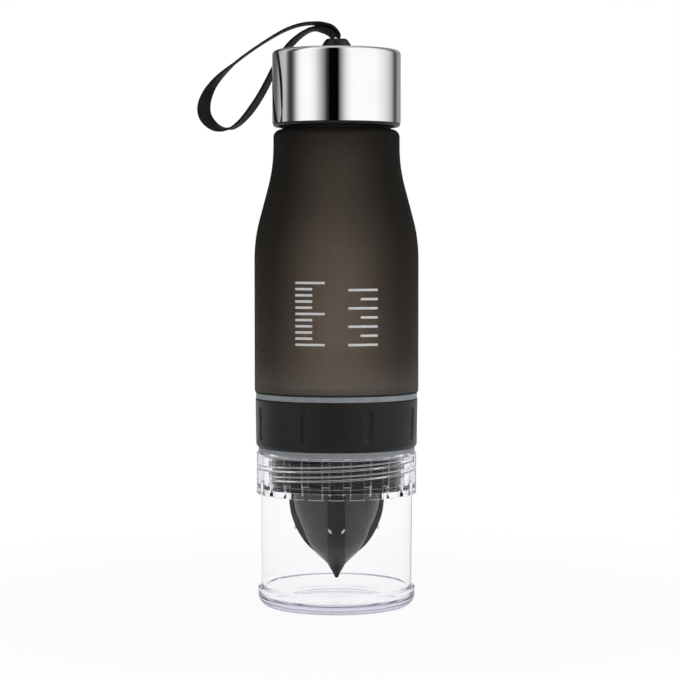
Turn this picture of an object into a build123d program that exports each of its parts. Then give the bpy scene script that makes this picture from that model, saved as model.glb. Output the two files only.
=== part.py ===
from build123d import *
from math import atan2, ceil, cos, degrees, hypot, pi, radians, sin, sqrt, tan
import os

# A fruit infuser water bottle. It stands on z = 0, +Z is up and -Y is the front.
# From the floor up: a clear fruit cup, a black collar with a citrus reamer that hangs into the
# cup, a frosted body, and a steel cap with a strap. Each piece screws into the one below it.
# Sizes are in millimetres.

os.makedirs("parts", exist_ok=True)

# Overall sizes. The other radii step in from the bottle's, each by an inset of its own.
bottle_radius = 36.7
cup_height = 69.6
collar_height = 22.0
body_height = 117.4
cap_height = 33.9

# Clearances, and how far a cutter passes the face that it cuts
move_gap = 0.35
thread_gap = 0.4
pin_gap = 0.05
seat_gap = 0.4
overrun = 2.0

# The screw threads: all have one ridge form. The two wide ones have two starts, the cap one.
thread_pitch = 4.2
thread_rise = 1.3
thread_base = 2.2
thread_crest = 1.4
thread_sink = 0.4
wide_starts = 2
wide_outer_turns = 1.155
wide_inner_turns = 0.905
wide_lead = wide_starts * thread_pitch
cap_turns = 1.25

# Fruit cup
foot_inset = 1.6
foot_height = 8.4
foot_round = 5.4
foot_chamfer = 1.0
cup_low_inset = 3.05
cup_high_inset = 2.7
cup_wall = 2.0
cup_floor = 4.7
cup_inner_round = 2.0
band_inset = 0.9
band_height = 13.2
band_round = 0.8
tooth_count = 24
tooth_drop = 5.6
tooth_gap_share = 1 / 3
groove_depth = 0.35
groove_margin = 1.0
bore_play = 0.8
neck_in = 1.8
punt_inset = 13.4
punt_depth = 0.8
gate_radius = 1.2
gate_height = 0.4
cup_thread_angle = -95.3

# Cup seal: a flange on the cup's rim and a skirt inside it
cup_seal_flange = 1.8
cup_seal_skirt = 1.9
cup_seal_width = 3.4
cup_seal_inset = 1.7

# Collar, with the sleeve that screws into the cup
collar_inset = 0.4
collar_draft = 0.3
collar_floor = 2.6
collar_low_round = 1.8
collar_high_round = 0.8
sleeve_inset = 7.3
sleeve_wall = 2.2
sleeve_length = 17.2
sleeve_thread_low = 15.0
flute_count = 8
flute_round = 4.5
flute_depth = 0.8
flute_low_margin = 3.1
flute_high_margin = 2.6

# Reamer
reamer_flange_gap = 1.6
reamer_flange = 2.0
reamer_inset = 7.6
reamer_straight = 25.0
reamer_tip = 12.1
reamer_wall = 1.8
rib_count = 4
rib_width = 7.8
rib_height = 1.3
rib_sink = 0.6
nib_height = 6.9
nib_share = 0.21
rib_shares = [(0.869, 0.44), (0.612, 0.73)]
core_shares = [(0.91, 0.31), (0.791, 0.503), (0.612, 0.737)]
hollow_shares = [(0.9, 0.31), (0.77, 0.5), (0.574, 0.7)]
nib_shares = [(0.578, 0.443), (0.267, 0.8)]
hollow_lift = 3.5
pip_radius = 0.55
pip_shares = [(0.381, 0.619), (0.36, 0.347)]
strainer_slots = 16
strainer_inset = 1.2
strainer_width = 3.2
strainer_bridge = 1.2

# Bottle seal
bottle_seal_height = 2.3
bottle_seal_inset = 0.6

# Bottle body
body_wall = 1.8
body_low_round = 1.3
body_floor = 2.0
body_inner_round = 1.5
shoulder_inset = 8.5
shoulder_run = 32.1
shoulder_drop = 16.7
shoulder_bend_share = 0.2665
shoulder_top_round = 3.6
low_neck_inset = 4.8
low_neck_wall = 2.0
low_neck_thread = 2.4
low_neck_angle = 40.0
neck_inset = 4.0
neck_wall = 2.0
neck_thread_drop = 10.6
neck_round = 0.6
neck_angle = -60.0

# Cap
gasket_height = 2.0
gasket_width = 3.6
cap_overhang = 0.5
cap_lift = 1.1
ceiling_wall = 1.2
steel = 0.6
steel_round = 2.0
lip_height = 1.5
lip_round = 1.2
lip_inset = 0.35
rivet_room_gap = 0.5
cap_fit = 0.05

# Knob, its rivet, washer and cross pin
knob_base_radius = 7.9
knob_waist_radius = 6.2
knob_top_radius = 5.4
knob_brim = 1.0
knob_round = 0.7
shank_radius = 3.0
shank_play = 0.3
slot_floor = 1.3
rivet_radius = 1.2
rivet_head_radius = 2.4
rivet_head = 0.6
rivet_tail_radius = 2.3
rivet_tail = 0.9
washer_radius = 4.2
washer_thickness = 0.6
pin_radius = 0.8
pin_drop = 1.65
pin_front = 5.0
pin_back = 6.2

# Strap: its route from the cross pin, over the cap's left, round below and up behind the cap.
# Each point has its place from the middle of the pin, as shares of the cap's radius, and the
# band's twist there in degrees.
strap_width = 6.0
strap_thickness = 0.8
strap_eye_gap = 0.1
strap_end_gap = 0.6
strap_eye_bend = 0.95
strap_play = 0.45
strap_step = 3.0
strap_turn_step = 12.0
strap_bend_share = 0.45
strap_route_shares = [
    ((-0.0662, 0, 0.2805), 20),
    ((-0.3484, 0, 0.385), 5),
    ((-0.7317, 0, 0.2596), 0),
    ((-1.1672, 0, -0.0087), 0),
    ((-1.6028, 0, -0.3223), 0),
    ((-1.9652, 0, -0.6725), 30),
    ((-2.0906, 0.0174, -1.0627), 62),
    ((-1.9094, 0.0697, -1.324), 30),
    ((-1.6132, 0.1742, -1.3101), -12),
    ((-1.3449, 0.3484, -1.007), -26),
    ((-1.1359, 0.5226, -0.6481), -25),
    ((-0.9756, 0.6446, -0.2857), -20),
    ((-0.7247, 0.5052, 0.0383), -20),
    ((-0.4181, 0.2091, 0.2509), -5),
    ((-0.1603, 0.0279, 0.1986), 0),
]
strap_rise = 2.0

# Levels and radii that follow from these, from the floor up
foot_radius = bottle_radius - foot_inset
cup_low_radius = bottle_radius - cup_low_inset
cup_high_radius = bottle_radius - cup_high_inset
band_radius = bottle_radius - band_inset
band_low = cup_height - band_height
tooth_low = band_low - tooth_drop
collar_radius = bottle_radius - collar_inset
collar_low = cup_height + cup_seal_flange
collar_high = collar_low + collar_height
sleeve_radius = collar_radius - sleeve_inset
sleeve_low = collar_low - sleeve_length
bore_low = sleeve_low + bore_play
sleeve_crest = sleeve_radius + thread_rise
cup_bore = sleeve_crest + thread_gap
plate_low = collar_low + collar_floor
plate_high = plate_low + reamer_flange
body_low = collar_high + bottle_seal_height
body_high = body_low + body_height
low_neck_low = plate_high + seat_gap
low_neck_radius = bottle_radius - low_neck_inset
low_neck_crest = low_neck_radius + thread_rise
collar_bore = low_neck_crest + thread_gap
shoulder_high = body_high - shoulder_drop
shoulder_low = shoulder_high - shoulder_run
shoulder_radius = bottle_radius - shoulder_inset
shoulder_turn = atan2(shoulder_inset, shoulder_run)
shoulder_bend = shoulder_bend_share * hypot(shoulder_inset, shoulder_run) / tan(shoulder_turn / 2)
neck_radius = shoulder_radius - neck_inset
liner_bore = neck_radius + thread_rise + thread_gap
cap_radius = shoulder_radius + cap_overhang
cap_low = body_high + cap_lift
cap_high = cap_low + cap_height
steel_low = cap_low + lip_height
liner_high = cap_high - steel
shank_low = liner_high - shank_play
washer_low = shank_low - washer_thickness
room_low = washer_low - rivet_tail - rivet_room_gap
ceiling = room_low - ceiling_wall
neck_high = ceiling - gasket_height
neck_thread_low = neck_high - neck_thread_drop
floor_high = cap_high + slot_floor
pin_high = floor_high + strap_play + strap_thickness + strap_eye_gap + pin_radius
knob_high = pin_high + pin_drop


def ring(outer, inner, low, high):
    """A plain ring or tube, from its radii and its two heights."""
    with BuildPart() as piece:
        with BuildSketch(Plane.XY.offset(low)):
            Circle(outer)
            Circle(inner, mode=Mode.SUBTRACT)
        extrude(amount=high - low)
    return piece.part


def thread_ridge(wall_radius, rise, lead, turns, low):
    """One turn or so of screw thread on a wall: rise is the ridge's height, negative towards the axis."""
    sink = -thread_sink if rise > 0 else thread_sink
    flare = (thread_base - thread_crest) * thread_sink / abs(rise)
    with BuildPart() as ridge:
        with BuildLine():
            Helix(pitch=lead, height=turns * lead, radius=wall_radius, center=(0, 0, low))
        with BuildSketch(Plane.XZ.shift_origin((0, 0, low))):
            with BuildLine():
                Polyline(
                    (wall_radius + sink, -(thread_base + flare) / 2),
                    (wall_radius + rise, -thread_crest / 2),
                    (wall_radius + rise, thread_crest / 2),
                    (wall_radius + sink, (thread_base + flare) / 2),
                    close=True,
                )
            make_face()
        sweep(is_frenet=True)
    return ridge.part


# Fruit cup: a clear tumbler with a thick neck that is threaded inside
cup_seal_outer = sleeve_radius + move_gap + cup_seal_width
cup_ledge = cup_height - cup_seal_skirt
cup_thread_low = collar_low - sleeve_thread_low + thread_pitch / 2
tooth_gap = 2 * pi * band_radius / tooth_count * tooth_gap_share
cup_ridge = thread_ridge(cup_bore, -thread_rise, wide_lead, wide_inner_turns, cup_thread_low)

with BuildPart() as fruit_cup:
    with BuildSketch(Plane.XZ):
        with BuildLine():
            FilletPolyline(
                (0, 0),
                (foot_radius, 0),
                (foot_radius, foot_height),
                radius=foot_round,
            )
            Polyline(
                (foot_radius, foot_height),
                (cup_low_radius, foot_height + foot_chamfer),
                (cup_high_radius, tooth_low),
                (cup_high_radius, band_low),
                (band_radius, band_low),
                (band_radius, cup_height - band_round),
                (band_radius - band_round, cup_height),
                (cup_seal_outer + move_gap, cup_height),
                (cup_seal_outer + move_gap, cup_ledge),
                (cup_bore, cup_ledge),
                (cup_bore, bore_low),
                (cup_high_radius - cup_wall, bore_low - neck_in),
            )
            FilletPolyline(
                (cup_high_radius - cup_wall, bore_low - neck_in),
                (cup_low_radius - cup_wall, cup_floor),
                (0, cup_floor),
                radius=cup_inner_round,
            )
            Line((0, cup_floor), (0, 0))
        make_face()
    revolve(axis=Axis.Z)
    with BuildSketch(Plane.XY.offset(tooth_low)):
        Circle(band_radius)
        Circle(cup_high_radius - cup_wall / 2, mode=Mode.SUBTRACT)
        with PolarLocations(band_radius, tooth_count, start_angle=-90 - 180 / tooth_count):
            Rectangle(2 * (band_radius - cup_high_radius), tooth_gap, mode=Mode.SUBTRACT)
    extrude(amount=tooth_drop)
    with BuildSketch(Plane.XY.offset(band_low)):
        with PolarLocations(band_radius, tooth_count, start_angle=-90 - 180 / tooth_count):
            Rectangle(2 * groove_depth, tooth_gap)
    extrude(amount=band_height - groove_margin, mode=Mode.SUBTRACT)
    with BuildSketch(Plane.XY):
        Circle(foot_radius - punt_inset)
    extrude(amount=punt_depth, mode=Mode.SUBTRACT)
    with BuildSketch(Plane.XY.offset(punt_depth - gate_height)):
        Circle(gate_radius)
    extrude(amount=2 * gate_height)
    with PolarLocations(0, wide_starts, start_angle=cup_thread_angle - 360 * wide_outer_turns):
        add(cup_ridge)
fruit_cup.part.label = "fruit_cup"
export_step(fruit_cup.part, "parts/fruit_cup.step")

# Cup seal: a soft ring round the sleeve, between the cup's rim and the collar
cup_seal_inner = sleeve_radius + move_gap
cup_seal = ring(bottle_radius - cup_seal_inset, cup_seal_inner, cup_height, collar_low)
cup_seal += ring(cup_seal_outer, cup_seal_inner, cup_ledge, cup_height)
cup_seal.label = "cup_seal"
export_step(cup_seal, "parts/cup_seal.step")

# Collar: a grip ring that takes the body's foot in its top and screws into the cup below
flute_end = sqrt(2 * flute_round * flute_depth)
flute_low = collar_low + flute_low_margin + flute_end
flute_high = collar_high - flute_high_margin - flute_end
collar_thread_low = low_neck_low + low_neck_thread + thread_pitch / 2
sleeve_ridge = thread_ridge(
    sleeve_radius, thread_rise, wide_lead, wide_outer_turns, collar_low - sleeve_thread_low
)
collar_ridge = thread_ridge(collar_bore, -thread_rise, wide_lead, wide_inner_turns, collar_thread_low)

with BuildPart() as juicer_collar:
    with BuildSketch(Plane.XZ):
        with BuildLine():
            FilletPolyline(
                (sleeve_radius, collar_low),
                (collar_radius - collar_draft, collar_low),
                (collar_radius, collar_high),
                (collar_bore, collar_high),
                radius=(collar_low_round, collar_high_round),
            )
            Polyline(
                (collar_bore, collar_high),
                (collar_bore, collar_low + collar_floor),
                (sleeve_radius - sleeve_wall, collar_low + collar_floor),
                (sleeve_radius - sleeve_wall, sleeve_low),
                (sleeve_radius, sleeve_low),
                (sleeve_radius, collar_low),
            )
        make_face()
    revolve(axis=Axis.Z)
    with PolarLocations(
        collar_radius - flute_depth + flute_round, flute_count, start_angle=180 / flute_count
    ):
        with Locations((0, 0, flute_low), (0, 0, flute_high)):
            Sphere(flute_round, mode=Mode.SUBTRACT)
        with Locations((0, 0, (flute_low + flute_high) / 2)):
            Cylinder(flute_round, flute_high - flute_low, mode=Mode.SUBTRACT)
    with PolarLocations(0, wide_starts, start_angle=cup_thread_angle - 360 * wide_outer_turns):
        add(sleeve_ridge)
    with PolarLocations(0, wide_starts, start_angle=low_neck_angle):
        add(collar_ridge)
juicer_collar.part.label = "juicer_collar"
export_step(juicer_collar.part, "parts/juicer_collar.step")

# Reamer: a strainer plate that lies on the collar's floor, with a hollow ribbed cone below it
straight_low = plate_low - reamer_straight
nib_top = reamer_tip + nib_height
reamer_radius = sleeve_radius - reamer_inset
reamer_flange_radius = collar_bore - reamer_flange_gap
nib_radius = reamer_radius * nib_share
strainer_radius = reamer_radius + strainer_inset + strainer_width / 2
strainer_turn = 360 / strainer_slots - degrees((strainer_width + strainer_bridge) / strainer_radius)
core_radius = reamer_radius - rib_height
hollow_radius = core_radius - reamer_wall


def side_points(radius, top, drop, shares):
    """Points down a tapering side, from shares of its radius and of its drop."""
    return [(radius * wide_share, top - drop * deep_share) for wide_share, deep_share in shares]


def cone(radius, shares, sink):
    """A solid of the reamer's outline: a straight top, a round taper and a nib, set in by its sink."""
    nib = nib_radius - sink
    tip = reamer_tip + sink
    with BuildPart() as piece:
        with BuildSketch(Plane.XZ):
            with BuildLine():
                Polyline((0, plate_low), (radius, plate_low), (radius, straight_low))
                Spline(
                    (radius, straight_low),
                    *side_points(radius, straight_low, straight_low - nib_top, shares),
                    (nib, nib_top),
                    tangents=((0, -1), (-1, -1)),
                )
                Spline(
                    (nib, nib_top),
                    *side_points(nib, nib_top, nib_top - tip, nib_shares),
                    (0, tip),
                    tangents=((-1, -1), (-1, 0)),
                )
                Line((0, tip), (0, plate_low))
            make_face()
        revolve(axis=Axis.Z)
    return piece.part


rib_envelope = cone(reamer_radius, rib_shares, rib_sink)
core = cone(core_radius, core_shares, 0)

with BuildPart() as reamer:
    with BuildSketch(Plane.XY.offset(reamer_tip)):
        with PolarLocations(0, rib_count // 2, angular_range=180):
            Rectangle(2 * reamer_flange_radius, rib_width)
    extrude(amount=plate_low - reamer_tip)
    add(rib_envelope, mode=Mode.INTERSECT)
    for spread_share, drop_share in pip_shares:
        spread = rib_width * spread_share
        height = plate_low - (plate_low - reamer_tip) * drop_share
        round_here = section(rib_envelope, section_by=Plane.XY.offset(height), mode=Mode.PRIVATE)
        out = sqrt(round_here.bounding_box().max.X ** 2 - spread**2)
        with PolarLocations(0, rib_count):
            with Locations((out, spread, height), (out, -spread, height)):
                Sphere(pip_radius, rotation=(0, 90, 0))
    add(core)
    with BuildSketch(Plane.XY.offset(plate_low)):
        Circle(reamer_flange_radius)
    extrude(amount=reamer_flange)
    with BuildSketch(Plane.XZ):
        with BuildLine():
            Polyline((0, plate_high), (hollow_radius, plate_high), (hollow_radius, straight_low))
            Spline(
                (hollow_radius, straight_low),
                *side_points(hollow_radius, straight_low, straight_low - nib_top, hollow_shares),
                (0, nib_top + hollow_lift),
                tangents=((0, -1), (-1, 0)),
            )
            Line((0, nib_top + hollow_lift), (0, plate_high))
        make_face()
    revolve(axis=Axis.Z, mode=Mode.SUBTRACT)
    with BuildSketch(Plane.XY.offset(plate_low)):
        for index in range(strainer_slots):
            slot_start = 360 * index / strainer_slots - strainer_turn / 2
            SlotArc(CenterArc((0, 0), strainer_radius, slot_start, strainer_turn), strainer_width)
    extrude(amount=reamer_flange, mode=Mode.SUBTRACT)
reamer.part.label = "reamer"
export_step(reamer.part, "parts/reamer.step")

# Bottle seal: a flat ring on the collar's top, under the body
bottle_seal = ring(bottle_radius - bottle_seal_inset, low_neck_radius + move_gap, collar_high, body_low)
bottle_seal.label = "bottle_seal"
export_step(bottle_seal, "parts/bottle_seal.step")

# Bottle body: a frosted shell with a threaded neck at each end
low_ridge = thread_ridge(
    low_neck_radius, thread_rise, wide_lead, wide_outer_turns, low_neck_low + low_neck_thread
)
neck_ridge = thread_ridge(neck_radius, thread_rise, thread_pitch, cap_turns, neck_thread_low)

with BuildPart() as bottle_body:
    with BuildSketch(Plane.XZ):
        with BuildLine():
            FilletPolyline(
                (low_neck_radius, body_low),
                (bottle_radius, body_low),
                (bottle_radius, shoulder_low),
                (shoulder_radius, shoulder_high),
                (shoulder_radius, body_high),
                (neck_radius, body_high),
                radius=(body_low_round, shoulder_bend, shoulder_bend, shoulder_top_round),
            )
            FilletPolyline(
                (neck_radius, body_high),
                (neck_radius, neck_high),
                (neck_radius - neck_wall, neck_high),
                radius=neck_round,
            )
            Polyline(
                (neck_radius - neck_wall, neck_high),
                (neck_radius - neck_wall, body_high - neck_wall),
            )
            FilletPolyline(
                (neck_radius - neck_wall, body_high - neck_wall),
                (shoulder_radius - body_wall, body_high - neck_wall),
                (shoulder_radius - body_wall, shoulder_high),
                (bottle_radius - body_wall, shoulder_low),
                (bottle_radius - body_wall, body_low + body_floor),
                (low_neck_radius - low_neck_wall, body_low + body_floor),
                radius=(body_inner_round, shoulder_bend, shoulder_bend, body_inner_round),
            )
            Polyline(
                (low_neck_radius - low_neck_wall, body_low + body_floor),
                (low_neck_radius - low_neck_wall, low_neck_low),
                (low_neck_radius, low_neck_low),
                (low_neck_radius, body_low),
            )
        make_face()
    revolve(axis=Axis.Z)
    with PolarLocations(0, wide_starts, start_angle=low_neck_angle):
        add(low_ridge)
    with PolarLocations(0, 1, start_angle=neck_angle):
        add(neck_ridge)
bottle_body.part.label = "bottle_body"
export_step(bottle_body.part, "parts/bottle_body.step")

# Cap gasket: a soft ring between the neck's rim and the liner's ceiling
cap_gasket = ring(liner_bore - thread_gap, neck_radius - gasket_width, neck_high, ceiling)
cap_gasket.label = "cap_gasket"
export_step(cap_gasket, "parts/cap_gasket.step")

# Cap shell: a drawn steel cup, open below, with a hole for the knob's shank
with BuildPart() as cap_shell:
    with BuildSketch(Plane.XZ):
        with BuildLine():
            FilletPolyline(
                (cap_radius, steel_low),
                (cap_radius, cap_high),
                (shank_radius + pin_gap, cap_high),
                radius=steel_round,
            )
            Line((shank_radius + pin_gap, cap_high), (shank_radius + pin_gap, cap_high - steel))
            FilletPolyline(
                (shank_radius + pin_gap, cap_high - steel),
                (cap_radius - steel, cap_high - steel),
                (cap_radius - steel, steel_low),
                radius=steel_round - steel,
            )
            Line((cap_radius - steel, steel_low), (cap_radius, steel_low))
        make_face()
    revolve(axis=Axis.Z)
cap_shell.part.label = "cap_shell"
export_step(cap_shell.part, "parts/cap_shell.step")

# Cap liner: the plastic cup in the shell, threaded inside, with a lip that shows under the steel
liner_radius = cap_radius - steel - cap_fit
rivet_room_radius = washer_radius + rivet_room_gap
liner_ridge = thread_ridge(
    liner_bore, -thread_rise, thread_pitch, cap_turns, neck_thread_low - thread_pitch / 2
)
with BuildPart() as cap_liner:
    with BuildSketch(Plane.XZ):
        with BuildLine():
            FilletPolyline(
                (liner_bore, cap_low),
                (cap_radius - lip_inset, cap_low),
                (cap_radius - lip_inset, steel_low),
                radius=lip_round,
            )
            Line((cap_radius - lip_inset, steel_low), (liner_radius, steel_low))
            FilletPolyline(
                (liner_radius, steel_low),
                (liner_radius, liner_high),
                (rivet_room_radius, liner_high),
                radius=steel_round - steel,
            )
            Polyline(
                (rivet_room_radius, liner_high),
                (rivet_room_radius, room_low),
                (0, room_low),
                (0, ceiling),
                (liner_bore, ceiling),
                (liner_bore, cap_low),
            )
        make_face()
    revolve(axis=Axis.Z)
    with PolarLocations(0, 1, start_angle=neck_angle):
        add(liner_ridge)
cap_liner.part.label = "cap_liner"
export_step(cap_liner.part, "parts/cap_liner.step")

# Strap knob: a low dome that turns on the cap, slotted across for the strap and its pin
with BuildPart() as strap_knob:
    with BuildSketch(Plane.XZ):
        with BuildLine():
            Line((0, cap_high), (knob_base_radius, cap_high))
            FilletPolyline(
                (knob_base_radius, cap_high),
                (knob_base_radius, cap_high + knob_brim),
                (knob_waist_radius, knob_high - knob_brim),
                (knob_top_radius, knob_high),
                (0, knob_high),
                radius=knob_round,
            )
            Line((0, knob_high), (0, cap_high))
        make_face()
    revolve(axis=Axis.Z)
    with BuildSketch(Plane.XY.offset(shank_low)):
        Circle(shank_radius)
    extrude(amount=cap_high - shank_low)
    with BuildSketch(Plane.XY.offset(floor_high)):
        Rectangle(2 * (knob_base_radius + overrun), strap_width + 2 * move_gap)
    extrude(amount=knob_high - floor_high, mode=Mode.SUBTRACT)
    with BuildSketch(Plane.XY.offset(floor_high - rivet_head)):
        Circle(rivet_head_radius + pin_gap)
    extrude(amount=rivet_head, mode=Mode.SUBTRACT)
    with BuildSketch(Plane.XY.offset(shank_low)):
        Circle(rivet_radius + pin_gap)
    extrude(amount=floor_high - shank_low, mode=Mode.SUBTRACT)
    with BuildSketch(Plane.XZ.offset(pin_front)):
        with Locations((0, pin_high)):
            Circle(pin_radius + pin_gap)
    extrude(amount=-(pin_front + knob_base_radius + overrun), mode=Mode.SUBTRACT)
strap_knob.part.label = "strap_knob"
export_step(strap_knob.part, "parts/strap_knob.step")

# Knob washer and rivet: they hold the knob to the steel from below
knob_washer = ring(washer_radius, rivet_radius + pin_gap, washer_low, shank_low)
knob_washer.label = "knob_washer"
export_step(knob_washer, "parts/knob_washer.step")

with BuildPart() as knob_rivet:
    with BuildSketch(Plane.XY.offset(washer_low - rivet_tail)):
        Circle(rivet_tail_radius)
    extrude(amount=rivet_tail)
    with BuildSketch(Plane.XY.offset(washer_low)):
        Circle(rivet_radius)
    extrude(amount=floor_high - washer_low)
    with BuildSketch(Plane.XY.offset(floor_high - rivet_head)):
        Circle(rivet_head_radius)
    extrude(amount=rivet_head)
knob_rivet.part.label = "knob_rivet"
export_step(knob_rivet.part, "parts/knob_rivet.step")

# Strap pin: a steel cross pin, pushed in from behind
with BuildPart() as strap_pin:
    with BuildSketch(Plane.XZ.offset(pin_front)):
        with Locations((0, pin_high)):
            Circle(pin_radius)
    extrude(amount=-(pin_front + pin_back))
strap_pin.part.label = "strap_pin"
export_step(strap_pin.part, "parts/strap_pin.step")

# Strap: one flat band whose two ends are sewn together under the pin
eye = pin_radius + strap_eye_gap + strap_thickness / 2
eye_end = strap_end_gap / 2
right_side = [((eye_end, 0, -eye), 0), ((eye, 0, -eye), 0), ((eye, 0, strap_rise), 0)]
left_side = [((-eye, 0, strap_rise), 0), ((-eye, 0, -eye), 0), ((-eye_end, 0, -eye), 0)]
route = [
    (tuple(cap_radius * share for share in place), twist) for place, twist in strap_route_shares
]
strap_stops = right_side + route + left_side
strap_points = [Vector(*place) + Vector(0, 0, pin_high) for place, _ in strap_stops]
strap_twists = [twist for _, twist in strap_stops]

strap_runs = [(after - here).length for here, after in zip(strap_points, strap_points[1:])]
strap_radii = []
for here in range(1, len(strap_points) - 1):
    arriving = strap_points[here] - strap_points[here - 1]
    leaving = strap_points[here + 1] - strap_points[here]
    half_turn = radians(arriving.get_angle(leaving) / 2)
    strap_radii.append(strap_bend_share * min(arriving.length, leaving.length) / tan(half_turn))
strap_radii[0] = strap_radii[-1] = strap_eye_bend
print("strap radii", [round(radius, 1) for radius in strap_radii])

with BuildLine() as strap_line:
    FilletPolyline(*strap_points, radius=strap_radii)
strap_path = strap_line.wire()


def twist_at(share):
    """The band's twist at a share of the strap's length, in degrees."""
    along = share * sum(strap_runs)
    for here, run in enumerate(strap_runs):
        if along <= run or here == len(strap_runs) - 1:
            near_share = min(along / run, 1)
            return strap_twists[here] * (1 - near_share) + strap_twists[here + 1] * near_share
        along -= run


def band_plane(share):
    """The plane across the band at a share of its length, with the band's width along x."""
    heading = strap_path % share
    flat = heading.cross(Vector(0, 1, 0)).normalized()
    deep = flat.cross(heading)
    twist = radians(twist_at(share))
    return Plane(origin=strap_path @ share, x_dir=deep * cos(twist) + flat * sin(twist), z_dir=heading)


strap_shares = [0]
walked = 0
for edge in strap_path.edges():
    turn = degrees(edge.length / edge.radius) if edge.geom_type == GeomType.CIRCLE else 0
    steps = max(ceil(edge.length / strap_step), ceil(turn / strap_turn_step))
    for step in range(1, steps + 1):
        strap_shares.append((walked + edge.length * step / steps) / strap_path.length)
    walked += edge.length

with BuildPart() as strap:
    for share in strap_shares:
        with BuildSketch(band_plane(min(share, 1))):
            Rectangle(strap_width, strap_thickness)
    loft(ruled=True)
print("strap length", round(strap_path.length, 1), "sections", len(strap_shares))
print("strap volume against section by length", round(
    strap.part.volume / (strap_width * strap_thickness * strap_path.length), 3
))
strap.part.label = "strap"
export_step(strap.part, "parts/strap.step")
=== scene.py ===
from math import cos, pi, radians, sin

import bmesh
import bpy
from mathutils import Matrix, Vector


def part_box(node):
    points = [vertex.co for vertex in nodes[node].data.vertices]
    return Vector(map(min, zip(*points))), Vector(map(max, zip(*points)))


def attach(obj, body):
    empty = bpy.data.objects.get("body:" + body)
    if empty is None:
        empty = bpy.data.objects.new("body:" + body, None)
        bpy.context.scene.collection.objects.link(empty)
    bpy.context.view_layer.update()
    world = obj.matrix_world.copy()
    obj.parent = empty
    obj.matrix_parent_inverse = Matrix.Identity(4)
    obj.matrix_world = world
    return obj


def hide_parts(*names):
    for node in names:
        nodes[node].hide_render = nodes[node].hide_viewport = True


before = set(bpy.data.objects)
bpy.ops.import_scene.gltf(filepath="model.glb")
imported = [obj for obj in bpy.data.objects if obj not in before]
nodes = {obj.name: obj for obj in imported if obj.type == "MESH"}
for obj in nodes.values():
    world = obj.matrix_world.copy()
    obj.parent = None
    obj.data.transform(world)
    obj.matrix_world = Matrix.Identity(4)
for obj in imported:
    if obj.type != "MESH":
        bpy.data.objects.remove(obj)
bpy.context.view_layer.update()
scene = bpy.context.scene


def new_object(name, data):
    """An object in the scene, from its data."""
    made = bpy.data.objects.new(name, data)
    scene.collection.objects.link(made)
    return made


def mesh_object(name, mesh):
    """An object in the scene, from a bmesh that is then freed."""
    data = bpy.data.meshes.new(name)
    mesh.to_mesh(data)
    mesh.free()
    return new_object(name, data)


# Camera: in front of the bottle, level with its shoulder and aimed slightly down
focal_px = 2200.0
image_px = 680.0
sensor_mm = 36.0
camera_distance = 0.985
camera_height = 0.1616
camera_side = 0.00155
camera_pitch = radians(2.47)

camera_data = bpy.data.cameras.new("camera")
camera_data.sensor_width = sensor_mm
camera_data.sensor_fit = "HORIZONTAL"
camera_data.lens = focal_px / image_px * sensor_mm
camera_data.clip_start = 0.01
camera_data.clip_end = 50.0
camera = new_object("camera", camera_data)
camera.location = (camera_side, -camera_distance, camera_height)
camera.rotation_euler = (pi / 2 - camera_pitch, 0.0, 0.0)
scene.camera = camera


# Strap: a flat band on one smooth line, from the pin over the cap's left edge and back behind it.
# Each stop is a place from the pin and the band's twist there in degrees.
pin_high = 0.25155
strap_width = 0.006
strap_thickness = 0.0008
strap_edge_share = 0.6
strap_points_each = 14
strap_stops = [
    ((0.0003, 0.0, -0.0013), 0),
    ((0.0013, 0.0, -0.0013), 0),
    ((0.0013, 0.0, 0.002), 0),
    ((0.0009, 0.0, 0.0034), 20),
    ((-0.0024, 0.0, 0.0065), 36),
    ((-0.01, 0.0, 0.0093), 5),
    ((-0.021, 0.0, 0.0071), 4),
    ((-0.0335, 0.0, -0.00025), 0),
    ((-0.046, 0.0, -0.00915), 0),
    ((-0.0564, 0.0, -0.0191), 32),
    ((-0.0604, 0.0005, -0.0305), 85),
    ((-0.0548, 0.002, -0.0378), 42),
    ((-0.0459, 0.005, -0.0379), -12),
    ((-0.0383, 0.01, -0.0292), -26),
    ((-0.0323, 0.015, -0.0189), -25),
    ((-0.0277, 0.0185, -0.0083), -20),
    ((-0.0208, 0.0145, 0.0014), -22),
    ((-0.012, 0.006, 0.0071), -8),
    ((-0.0046, 0.0008, 0.0056), -22),
    ((-0.0015, 0.0, 0.0034), -25),
    ((-0.0013, 0.0, 0.002), 0),
    ((-0.0013, 0.0, -0.0013), 0),
    ((-0.0003, 0.0, -0.0013), 0),
]


def spline_points(points, resolution):
    """Points along the smooth line that has these as its control points."""
    line = bpy.data.curves.new("route", "CURVE")
    line.dimensions = "3D"
    line.resolution_u = resolution
    spline = line.splines.new("NURBS")
    spline.points.add(len(points) - 1)
    for stop, point in zip(spline.points, points):
        stop.co = (*point, 1.0)
    spline.order_u = 3
    spline.use_endpoint_u = True
    holder = new_object("route", line)
    as_mesh = bpy.data.meshes.new_from_object(holder)
    found = [vertex.co.copy() for vertex in as_mesh.vertices]
    bpy.data.objects.remove(holder)
    bpy.data.curves.remove(line)
    bpy.data.meshes.remove(as_mesh)
    return found


def between(places, values, at):
    """The value at a place, on straight lines between the known ones."""
    for index in range(len(places) - 1):
        if at <= places[index + 1]:
            near = (at - places[index]) / (places[index + 1] - places[index])
            return values[index] * (1 - near) + values[index + 1] * near
    return values[-1]


def strap_outline():
    """The band's section: places across it and through it, once round."""
    half, thin = strap_width / 2, strap_thickness / 2
    edge = half - thin * strap_edge_share
    below = [(x, -thin) for x in (-edge, -half / 2, 0.0, half / 2, edge)]
    above = [(x, thin) for x in (edge, half / 2, 0.0, -half / 2, -edge)]
    return [*below, (half, 0.0), *above, (-half, 0.0)]


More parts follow.
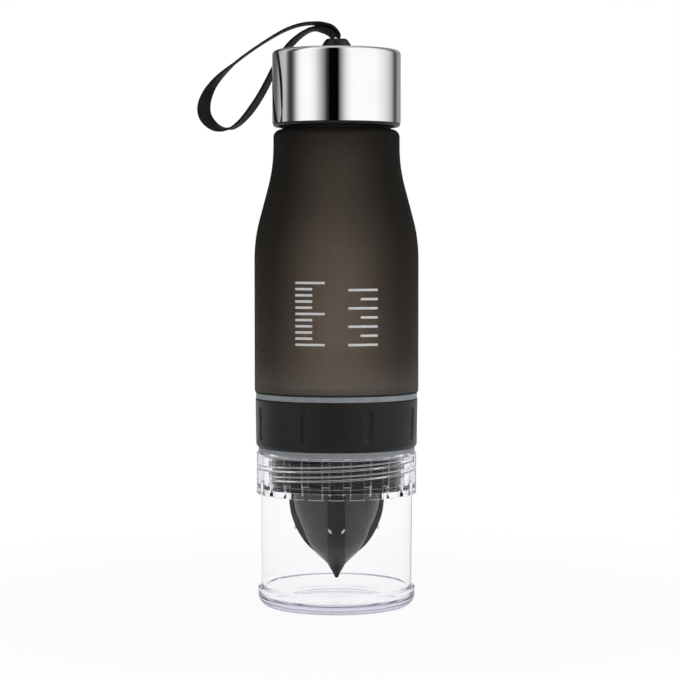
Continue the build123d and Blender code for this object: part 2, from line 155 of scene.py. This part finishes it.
def strap_band(name, stops, resolution):
    """The band and its centreline. Its UV runs in metres: u along the band, v across it."""
    pin = Vector((0, 0, pin_high))
    line = spline_points([Vector(place) + pin for place, _ in stops], resolution)
    last = len(stops) - 1
    places = [0.0] + [index - 0.5 for index in range(1, last)] + [last - 1.0]
    twists = [twist for _, twist in stops]
    outline = strap_outline()
    mesh = bmesh.new()
    uv = mesh.loops.layers.uv.new("band")
    rings, walked = [], [0.0]
    for index, point in enumerate(line):
        before, after = line[max(index - 1, 0)], line[min(index + 1, len(line) - 1)]
        heading = (after - before).normalized()
        flat = heading.cross(Vector((0, 1, 0))).normalized()
        deep = flat.cross(heading)
        twist = radians(between(places, twists, index / (len(line) - 1) * (last - 1)))
        across = deep * cos(twist) + flat * sin(twist)
        through = heading.cross(across)
        rings.append([mesh.verts.new(point + across * x + through * y) for x, y in outline])
        if index:
            walked.append(walked[-1] + (point - line[index - 1]).length)
    count = len(outline)
    for index in range(len(rings) - 1):
        for side in range(count):
            after = (side + 1) % count
            corners = ((index, side), (index, after), (index + 1, after), (index + 1, side))
            face = mesh.faces.new([rings[along][place] for along, place in corners])
            face.smooth = True
            for loop, (along, place) in zip(face.loops, corners):
                loop[uv].uv = (walked[along], outline[place][0])
    for end in (rings[0][::-1], rings[-1]):
        mesh.faces.new(end)
    mesh.normal_update()
    return mesh_object(name, mesh), line, walked[-1]


strap, strap_line, strap_length = strap_band("strap_band", strap_stops, strap_points_each)
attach(strap, "strap")
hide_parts("strap")


# Materials
class Nodes:
    """A node tree, with short calls that add nodes and join them."""

    def __init__(self, tree):
        self.tree = tree
        self.link = tree.links.new

    def feed(self, socket, value):
        """Joins a socket to another node's output, or gives it a number or a colour."""
        if isinstance(value, bpy.types.NodeSocket):
            self.link(value, socket)
        elif isinstance(value, tuple):
            socket.default_value = (*value, 1.0)
        else:
            socket.default_value = value

    def add(self, kind, **values):
        """A new node. Each value is for one of its settings, or for the socket of that name."""
        node = self.tree.nodes.new(kind)
        for key, value in values.items():
            if hasattr(node, key):
                setattr(node, key, value)
            else:
                self.feed(node.inputs[key.replace("_", " ")], value)
        return node

    def math(self, operation, *values):
        """The result of a math node on these numbers or outputs."""
        node = self.add("ShaderNodeMath", operation=operation)
        for socket, value in zip(node.inputs, values):
            self.feed(socket, value)
        return node.outputs[0]

    def remap(self, value, span, result=(0.0, 1.0), smooth=False):
        """A number carried from one span to another, and held at the ends."""
        node = self.add(
            "ShaderNodeMapRange",
            interpolation_type="SMOOTHSTEP" if smooth else "LINEAR",
            Value=value,
            From_Min=span[0],
            From_Max=span[1],
            To_Min=result[0],
            To_Max=result[1],
        )
        return node.outputs["Result"]

    def parts(self, vector):
        """A vector's three numbers, by the names of their axes."""
        return self.add("ShaderNodeSeparateXYZ", Vector=vector).outputs

    def mix(self, share, low, high):
        """A colour between two others."""
        node = self.add("ShaderNodeMix", data_type="RGBA", Factor=share, A=low, B=high)
        return node.outputs["Result"]

    def blend(self, share, first, second):
        """A shader between two others."""
        node = self.add("ShaderNodeMixShader", Fac=share)
        self.link(first, node.inputs[1])
        self.link(second, node.inputs[2])
        return node.outputs["Shader"]


class Finish(Nodes):
    """A new node material, with the calls that most finishes need."""

    noise_span = (0.35, 0.65)
    grain_depth = 0.0001

    def __init__(self, name):
        self.made = bpy.data.materials.new(name)
        self.made.use_nodes = True
        super().__init__(self.made.node_tree)
        self.shader = self.tree.nodes["Principled BSDF"]
        self.output = self.tree.nodes["Material Output"]
        self.place = self.add("ShaderNodeTexCoord").outputs["Object"]

    def set(self, **values):
        """Sets or feeds the shader's own sockets, named with underscores for spaces."""
        for key, value in values.items():
            self.feed(self.shader.inputs[key.replace("_", " ")], value)

    def wander(self, scale, low, high):
        """A number or colour that wanders between two values with noise over the object."""
        noise = self.add("ShaderNodeTexNoise", Vector=self.place, Scale=scale, Detail=3.0)
        found = noise.outputs["Fac"]
        if isinstance(low, tuple):
            return self.mix(self.remap(found, self.noise_span), low, high)
        return self.remap(found, self.noise_span, (low, high))

    def softened(self, radius):
        """The surface's direction, rounded over its edges."""
        return self.add("ShaderNodeBevel", samples=6, Radius=radius).outputs["Normal"]

    def bump(self, height, strength, distance, rounding=None):
        """Feeds a height to the shader's normal, over softened edges if rounding gives a radius."""
        node = self.add("ShaderNodeBump", Strength=strength, Distance=distance, Height=height)
        if rounding:
            self.link(self.softened(rounding), node.inputs["Normal"])
        self.set(Normal=node.outputs["Normal"])

    def grain(self, scale, strength, distance=grain_depth, rounding=None):
        """A fine even grain, as moulded or cast faces have."""
        noise = self.add("ShaderNodeTexNoise", Vector=self.place, Scale=scale, Detail=2.0)
        self.bump(noise.outputs["Fac"], strength, distance, rounding)

    def absorb(self, density, colour):
        """Light fades to this colour inside the solid."""
        depth = self.add("ShaderNodeVolumeAbsorption", Density=density, Color=colour)
        self.link(depth.outputs["Volume"], self.output.inputs["Volume"])


def plain_material(name, low, high, scale, roughness, grain=None, **inputs):
    """A moulded or cast finish: a colour that wanders slightly, uneven roughness, a fine grain."""
    finish = Finish(name)
    finish.set(
        Base_Color=finish.wander(scale, low, high),
        Roughness=finish.wander(scale * 2.3, *roughness),
        **inputs,
    )
    if grain:
        finish.grain(*grain)
    return finish.made


knob_plastic = plain_material(
    "knob_plastic", (0.004, 0.004, 0.004), (0.007, 0.0068, 0.0065), 120.0, (0.2, 0.3),
    (2600.0, 0.2), Specular_IOR_Level=0.35,
)
seal_silicone = plain_material(
    "seal_silicone", (0.32, 0.33, 0.35), (0.39, 0.4, 0.42), 150.0, (0.42, 0.55),
    (3000.0, 0.15), Subsurface_Weight=0.2,
)
gasket_silicone = plain_material(
    "gasket_silicone", (0.6, 0.6, 0.59), (0.66, 0.66, 0.65), 150.0, (0.45, 0.55),
    (3000.0, 0.15),
)
plain_steel = plain_material(
    "plain_steel", (0.56, 0.56, 0.57), (0.62, 0.62, 0.63), 300.0, (0.22, 0.36),
    (4000.0, 0.1), Metallic=1.0,
)
polished_steel = plain_material(
    "polished_steel", (0.82, 0.82, 0.825), (0.86, 0.86, 0.865), 40.0, (0.03, 0.06),
    Metallic=1.0,
)

edge_round = 0.0003


def black_plastic_material():
    """Black satin plastic with a fine grain and softened edges."""
    finish = Finish("black_plastic")
    finish.set(
        Base_Color=finish.wander(60.0, (0.006, 0.0057, 0.0053), (0.009, 0.0085, 0.0079)),
        Roughness=finish.wander(140.0, 0.34, 0.42),
        Specular_IOR_Level=0.3,
    )
    finish.grain(2600.0, 0.25, rounding=edge_round)
    return finish.made


# Clear plastic: how far its edges are rounded, the turn over which they whiten as painted
# highlights, how clear they stay on upright faces, and the height of the foot, which stays clear
clear_edge_round = 0.0005
clear_edge_highlight_turn = (0.92, 0.998)
clear_upright_tilt = 0.3
clear_upright_share = 0.75
clear_foot = (0.012, 0.016)


def clear_plastic_material():
    """Clear moulded plastic with edges painted whitish above the foot as highlights, and a lavender
    depth.
    """
    finish = Finish("clear_plastic")
    rounded = finish.softened(clear_edge_round)
    turn = finish.add("ShaderNodeVectorMath", operation="DOT_PRODUCT")
    finish.link(rounded, turn.inputs[0])
    finish.link(finish.add("ShaderNodeNewGeometry").outputs["True Normal"], turn.inputs[1])
    tilt = finish.math("ABSOLUTE", finish.parts(rounded)["Z"])
    least = finish.remap(tilt, (0.0, clear_upright_tilt), (clear_upright_share, 0.0))
    # Painted highlight: rounded edges lose their transmission and show the white base colour as
    # whitish lines.
    clear = finish.remap(turn.outputs["Value"], clear_edge_highlight_turn, (least, 1.0))
    foot = finish.remap(finish.parts(finish.place)["Z"], clear_foot, (1.0, 0.0))
    finish.set(
        Base_Color=(0.998, 0.997, 0.999),
        Roughness=finish.wander(70.0, 0.008, 0.02),
        IOR=1.39,
        Specular_Tint=(0.12, 0.12, 0.13),
        Transmission_Weight=finish.math("MAXIMUM", clear, foot),
    )
    finish.absorb(31.0, (0.8, 0.785, 0.865))
    return finish.made


# Frosted plastic: its colour at the foot and at the neck, painted paler and warmer low down as a
# glow of light passing through it; the share of light it passes there, lower at the foot so the
# painted glow shows; painted shade that darkens its sides seen at a slant, more from the foot up
# to slant_full; and a painted shade line at its foot, where it meets the seal
painted_glow_foot = ((0.62, 0.555, 0.495), (0.68, 0.605, 0.535))
painted_glow_neck = ((0.22, 0.205, 0.19), (0.26, 0.24, 0.22))
foot_glow_reach = 0.02
foot_glow_pass = 0.82
smoky_share = 0.97
slant_shade_shares = (0.2, 0.62)
slant_full = 0.6
slant_shade_span = (0.0, 0.35)
slant_shade_colour = (0.014, 0.012, 0.01)
rim_shade_reach = 0.0013
rim_shade_share = 0.75


def frosted_plastic_material():
    """Smoky plastic with a matte face: a painted warm glow low down, painted shade on its sides
    seen at a slant, and a painted shade line at its foot.
    """
    finish = Finish("frosted_plastic")
    low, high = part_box("bottle_body")
    neck_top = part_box("bottle_seal")[1].z
    up = finish.parts(finish.place)["Z"]
    rise = finish.remap(up, (low.z, high.z))
    # Painted light: the colour is painted paler and warmer at the foot as a glow of light passing
    # through, darker at the neck, and less light passes at the foot so that painted glow shows.
    glow_pass = finish.remap(up, (neck_top, neck_top + foot_glow_reach), (foot_glow_pass, smoky_share), True)
    painted_foot_glow, painted_neck_glow = finish.wander(35.0, *painted_glow_foot), finish.wander(35.0, *painted_glow_neck)
    finish.shader.distribution = "GGX"
    finish.set(
        Base_Color=finish.mix(rise, painted_foot_glow, painted_neck_glow),
        Roughness=finish.wander(180.0, 0.5, 0.58),
        IOR=1.5,
        Specular_Tint=(0.1, 0.1, 0.1),
        Transmission_Weight=glow_pass,
    )
    finish.grain(3200.0, 0.2)
    finish.absorb(220.0, (0.45, 0.38, 0.33))
    # Painted shade: a near-black diffuse is mixed in where the wall is seen at a slant, darkening
    # the body's sides, more towards the neck.
    side_on = finish.add("ShaderNodeLayerWeight", Blend=0.5).outputs["Facing"]
    slant_shade_share = finish.remap(rise, (0.0, slant_full), slant_shade_shares)
    slant = finish.remap(side_on, slant_shade_span, (0.0, slant_shade_share))
    # Painted shade: a dark line along the body's foot, where it meets the seal.
    rim_shade_span = (neck_top + rim_shade_reach / 2, neck_top + rim_shade_reach)
    rim = finish.remap(up, rim_shade_span, (rim_shade_share, 0.0), True)
    painted_shade = finish.add("ShaderNodeBsdfDiffuse", Color=slant_shade_colour).outputs["BSDF"]
    shaded_sides = finish.blend(finish.math("MAXIMUM", slant, rim), finish.shader.outputs["BSDF"], painted_shade)
    finish.link(shaded_sides, finish.output.inputs["Surface"])
    return finish.made


# Reamer: half of a rib's width and how softly the painted dark on its ribs ends
rib_half = 0.0039
rib_blend = 0.0003


def reamer_material():
    """Dark glossy plastic: painted reflections darken its four ribs and pale its flutes."""
    finish = Finish("reamer_plastic")
    parts = finish.parts(finish.place)
    off_x, off_y = finish.math("ABSOLUTE", parts["X"]), finish.math("ABSOLUTE", parts["Y"])
    # Painted reflection: the flutes are painted paler and the ribs darker, for the bright and dark
    # studio they would mirror.
    painted_flute_light = finish.remap(
        finish.math("MINIMUM", off_x, off_y), (rib_half - rib_blend, rib_half + rib_blend)
    )
    finish.set(
        Base_Color=finish.mix(
            painted_flute_light,
            finish.wander(90.0, (0.004, 0.004, 0.0045), (0.007, 0.007, 0.0075)),
            finish.wander(260.0, (0.03, 0.03, 0.031), (0.045, 0.044, 0.045)),
        ),
        Roughness=finish.wander(200.0, 0.14, 0.2),
        Specular_IOR_Level=finish.remap(painted_flute_light, (0.0, 1.0), (0.3, 0.5)),
    )
    finish.grain(1800.0, 0.04, rounding=edge_round)
    return finish.made


# Webbing: the spacing of its ribs and of its lengthwise threads, and its relief
weave_rib_step = 0.00062
weave_thread_step = 0.0008
weave_rib_share = 0.6
weave_depth = 0.00008


def webbing_material():
    """Black woven band: fine ribs across it, threads along it and a satin sheen."""
    finish = Finish("black_webbing")
    parts = finish.parts(finish.add("ShaderNodeUVMap", uv_map="band").outputs["UV"])
    ribs = finish.math("SINE", finish.math("MULTIPLY", parts["X"], 2 * pi / weave_rib_step))
    threads = finish.math("SINE", finish.math("MULTIPLY", parts["Y"], 2 * pi / weave_thread_step))
    weave = finish.math("MULTIPLY_ADD", ribs, weave_rib_share, threads)
    level = finish.remap(weave, (-1.0 - weave_rib_share, 1.0 + weave_rib_share))
    finish.bump(weave, 0.5, weave_depth)
    finish.set(
        Base_Color=finish.mix(level, (0.004, 0.004, 0.004), (0.016, 0.0155, 0.015)),
        Roughness=finish.wander(900.0, 0.42, 0.6),
        Specular_IOR_Level=0.2,
        Sheen_Weight=0.04,
        Sheen_Roughness=0.4,
    )
    return finish.made


black_plastic = black_plastic_material()
clear_plastic = clear_plastic_material()
frosted_plastic = frosted_plastic_material()
reamer_plastic = reamer_material()
black_webbing = webbing_material()

finishes = {
    "fruit_cup": clear_plastic,
    "cup_seal": seal_silicone,
    "juicer_collar": black_plastic,
    "reamer": reamer_plastic,
    "bottle_seal": seal_silicone,
    "bottle_body": frosted_plastic,
    "cap_gasket": gasket_silicone,
    "cap_liner": black_plastic,
    "cap_shell": polished_steel,
    "strap_knob": knob_plastic,
    "strap_pin": plain_steel,
    "knob_rivet": plain_steel,
    "knob_washer": plain_steel,
    "strap": black_webbing,
}


def give(target, finish):
    """The whole object gets this material."""
    target.data.materials.clear()
    target.data.materials.append(finish)


for node_name, node_finish in finishes.items():
    shown = nodes[node_name]
    if not shown.material_slots:
        shown.data.materials.append(None)
    for slot in shown.material_slots:
        slot.link = "OBJECT"
        slot.material = node_finish
give(strap, black_webbing)


# Fill marks: two plain printed scales on the body's front, millilitres on the left, ounces on the
# right. Each scale has its side, its step in height, its number of marks and its long mark's turn.
mark_low = 0.1179
mark_edge = 0.0186
mark_height = 0.0011
mark_long = 0.0135
mark_short = 0.008
mark_pieces = 12
mark_scales = [(-1, 0.00268, 11, 5), (1, 0.00396, 7, 2)]
body_radius = 0.0367
print_proud = 0.00006


def fill_marks():
    """Thin curved strips on the body, ten millilitres or half an ounce a step."""
    strips = []
    for side, step_high, count, group in mark_scales:
        for index in range(count):
            length = mark_short if index % group else mark_long
            left = mark_edge - length if side > 0 else -mark_edge
            strips.append((left, length, mark_low + index * step_high))
    inner, outer = body_radius - print_proud / 2, body_radius + print_proud
    mesh = bmesh.new()
    for left, length, low in strips:
        section = (
            (inner, low), (outer, low + print_proud),
            (outer, low + mark_height - print_proud), (inner, low + mark_height),
        )
        rows = []
        for step in range(mark_pieces + 1):
            angle = (left + length * step / mark_pieces) / body_radius
            rows.append([
                mesh.verts.new((sin(angle) * wide, -cos(angle) * wide, high))
                for wide, high in section
            ])
        for before, after in zip(rows, rows[1:]):
            for side in range(3):
                corners = (before[side], after[side], after[side + 1], before[side + 1])
                face = mesh.faces.new(corners)
                face.smooth = side == 1
        mesh.faces.new(rows[0])
        mesh.faces.new(rows[-1][::-1])
    return mesh_object("fill_marks", mesh)


marks = fill_marks()
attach(marks, "bottle")
give(marks, plain_material(
    "white_ink", (0.84, 0.84, 0.85), (0.9, 0.9, 0.91), 400.0, (0.5, 0.62),
    (5000.0, 0.2, 0.00005),
))


# Pips: small beads on the reamer's ribs, where the solid has its own, painted pale as glints
pip_stops = [(0.0184, 0.0029, 0.0354), (0.0212, 0.0033, 0.0523)]
pip_size = (0.00055, 0.0005, 0.0012)
pip_lean = radians(32)


def pip_glints():
    """Two rows of leaning beads on each of the four ribs, painted pale as glints."""
    mesh = bmesh.new()
    size = Matrix.Diagonal((*pip_size, 1.0))
    for quarter in range(4):
        turn = Matrix.Rotation(quarter * pi / 2, 4, "Z")
        for out, spread, high in pip_stops:
            for side in (-1, 1):
                seat = Matrix.Translation((out, side * spread, high))
                lean = Matrix.Rotation(-side * pip_lean, 4, "X")
                bmesh.ops.create_uvsphere(
                    mesh, u_segments=16, v_segments=10, radius=1.0, matrix=turn @ seat @ lean @ size
                )
    for face in mesh.faces:
        face.smooth = True
    return mesh_object("pip_glints", mesh)


glint_beads = pip_glints()
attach(glint_beads, "juicer")
# Painted glints: the beads' pale colour stands in for highlights on the pips.
give(glint_beads, plain_material(
    "pip_glint_paint", (0.8, 0.8, 0.82), (0.86, 0.86, 0.88), 600.0, (0.15, 0.25),
    (5000.0, 0.05, 0.00005),
))


# Stage: a pale floor that keeps a faint shadow near the bottle and is plain white beyond it.
# shadow_share is how much of its own shading shows there, gloss_share how white reflections see it.
floor_reach = 6.0
floor_gap = 0.0003
shadow_reach = 0.09
shadow_fade = 0.3
shadow_share = 0.06
gloss_share = 0.5

floor_mesh = bmesh.new()
bmesh.ops.create_grid(floor_mesh, x_segments=1, y_segments=1, size=floor_reach)
floor = mesh_object("floor", floor_mesh)
floor.location.z = -floor_gap


def straight_rays(tree, kinds):
    """1 for what the camera sees directly or through clear plastic, and otherwise 0."""
    return tree.math("MAXIMUM", kinds["Is Camera Ray"], kinds["Is Transmission Ray"])


def floor_material():
    """Matte floor that rays from the camera see as plain white, and reflections as half white."""
    finish = Finish("floor_finish")
    finish.set(
        Base_Color=finish.wander(3.0, (0.8, 0.8, 0.8), (0.82, 0.82, 0.82)),
        Roughness=0.7,
        Specular_IOR_Level=0.2,
    )
    away = finish.add("ShaderNodeVectorMath", operation="LENGTH")
    finish.link(finish.place, away.inputs[0])
    fade = finish.remap(
        away.outputs["Value"], (shadow_reach, shadow_fade), (1.0 - shadow_share, 1.0), True
    )
    kinds = finish.add("ShaderNodeLightPath").outputs
    mirrored = finish.math("MULTIPLY", kinds["Is Glossy Ray"], gloss_share)
    pale = finish.math("MAXIMUM", straight_rays(finish, kinds), mirrored)
    white = finish.add("ShaderNodeEmission", Strength=1.0).outputs["Emission"]
    share = finish.math("MULTIPLY", pale, fade)
    lifted = finish.blend(share, finish.shader.outputs["BSDF"], white)
    finish.link(lifted, finish.output.inputs["Surface"])
    return finish.made


give(floor, floor_material())


# Studio: soft boxes round the bottle, with a dark gap where the camera stands, light the object
# and show in its reflections. The camera and clear plastic see plain white instead, and so do
# reflections within a few degrees of straight behind the bottle.
box_strength = 1.15
behind_degrees = (12, 9)
light_bounces = 32
# Each stop is an angle right of the camera, in degrees, and a grey
box_stops = [
    (-180, 0.3), (-150, 0.1), (-136, 0.12), (-118, 0.46), (-104, 0.5), (-96, 0.1), (-88, 0.02),
    (-81, 0.23), (-75, 0.64), (-69, 0.9), (-62, 1.0), (-50, 1.0), (-39, 0.86), (-28, 0.44),
    (-22, 0.23), (-17, 0.04), (-12, 0.001), (3, 0.001), (10, 0.4), (16, 0.7), (23, 0.93),
    (31, 1.0), (74, 1.0), (90, 0.85), (106, 0.63), (116, 0.42), (126, 0.08), (134, 0.1),
    (141, 0.3), (180, 0.3),
]
# Each stop is a height, from 0 straight down to 1 straight up, and a grey or the share it covers
ends_grey = [(0.0, 0.8), (0.3, 0.8), (0.36, 0.0), (0.9, 0.0), (0.96, 0.55), (1.0, 0.55)]
ends_cover = [(0.0, 1.0), (0.3, 1.0), (0.36, 0.0), (0.9, 0.0), (0.96, 1.0), (1.0, 1.0)]

studio = bpy.data.worlds.new("studio")
scene.world = studio
studio.use_nodes = True
sky = Nodes(studio.node_tree)
sky.tree.nodes.clear()


def sky_ramp(source, stops):
    """A ramp of greys over its source, from 0 to 1."""
    ramp = sky.add("ShaderNodeValToRGB", Fac=source)
    elements = ramp.color_ramp.elements
    while len(elements) < len(stops):
        elements.new(0.5)
    for element, (place, grey) in zip(elements, stops):
        element.position = place
        element.color = (grey, grey, grey, 1.0)
    return ramp.outputs["Color"]


axes = sky.parts(sky.add("ShaderNodeTexCoord").outputs["Generated"])
azimuth = sky.math("ARCTAN2", axes["X"], sky.math("MULTIPLY", axes["Y"], -1.0))
around = sky.math("MULTIPLY_ADD", azimuth, 1 / (2 * pi), 0.5)
height = sky.math("MULTIPLY_ADD", axes["Z"], 0.5, 0.5)
boxes = sky_ramp(around, [(angle / 360 + 0.5, grey) for angle, grey in box_stops])
greys = sky.mix(sky_ramp(height, ends_cover), boxes, sky_ramp(height, ends_grey))
lit = sky.add("ShaderNodeBackground", Color=greys, Strength=box_strength)
white = sky.add("ShaderNodeBackground", Color=(1.0, 1.0, 1.0))
ray_kinds = sky.add("ShaderNodeLightPath").outputs
behind = sky.remap(axes["Y"], tuple(cos(radians(degrees)) for degrees in behind_degrees))
mirrored = sky.math("MULTIPLY", ray_kinds["Is Glossy Ray"], behind)
backdrop = sky.math("MAXIMUM", straight_rays(sky, ray_kinds), mirrored)
seen = sky.blend(backdrop, lit.outputs["Background"], white.outputs["Background"])
sky.add("ShaderNodeOutputWorld", Surface=seen)

scene.view_settings.view_transform = "Standard"
scene.cycles.max_bounces = light_bounces
scene.cycles.transmission_bounces = light_bounces
scene.cycles.glossy_bounces = light_bounces
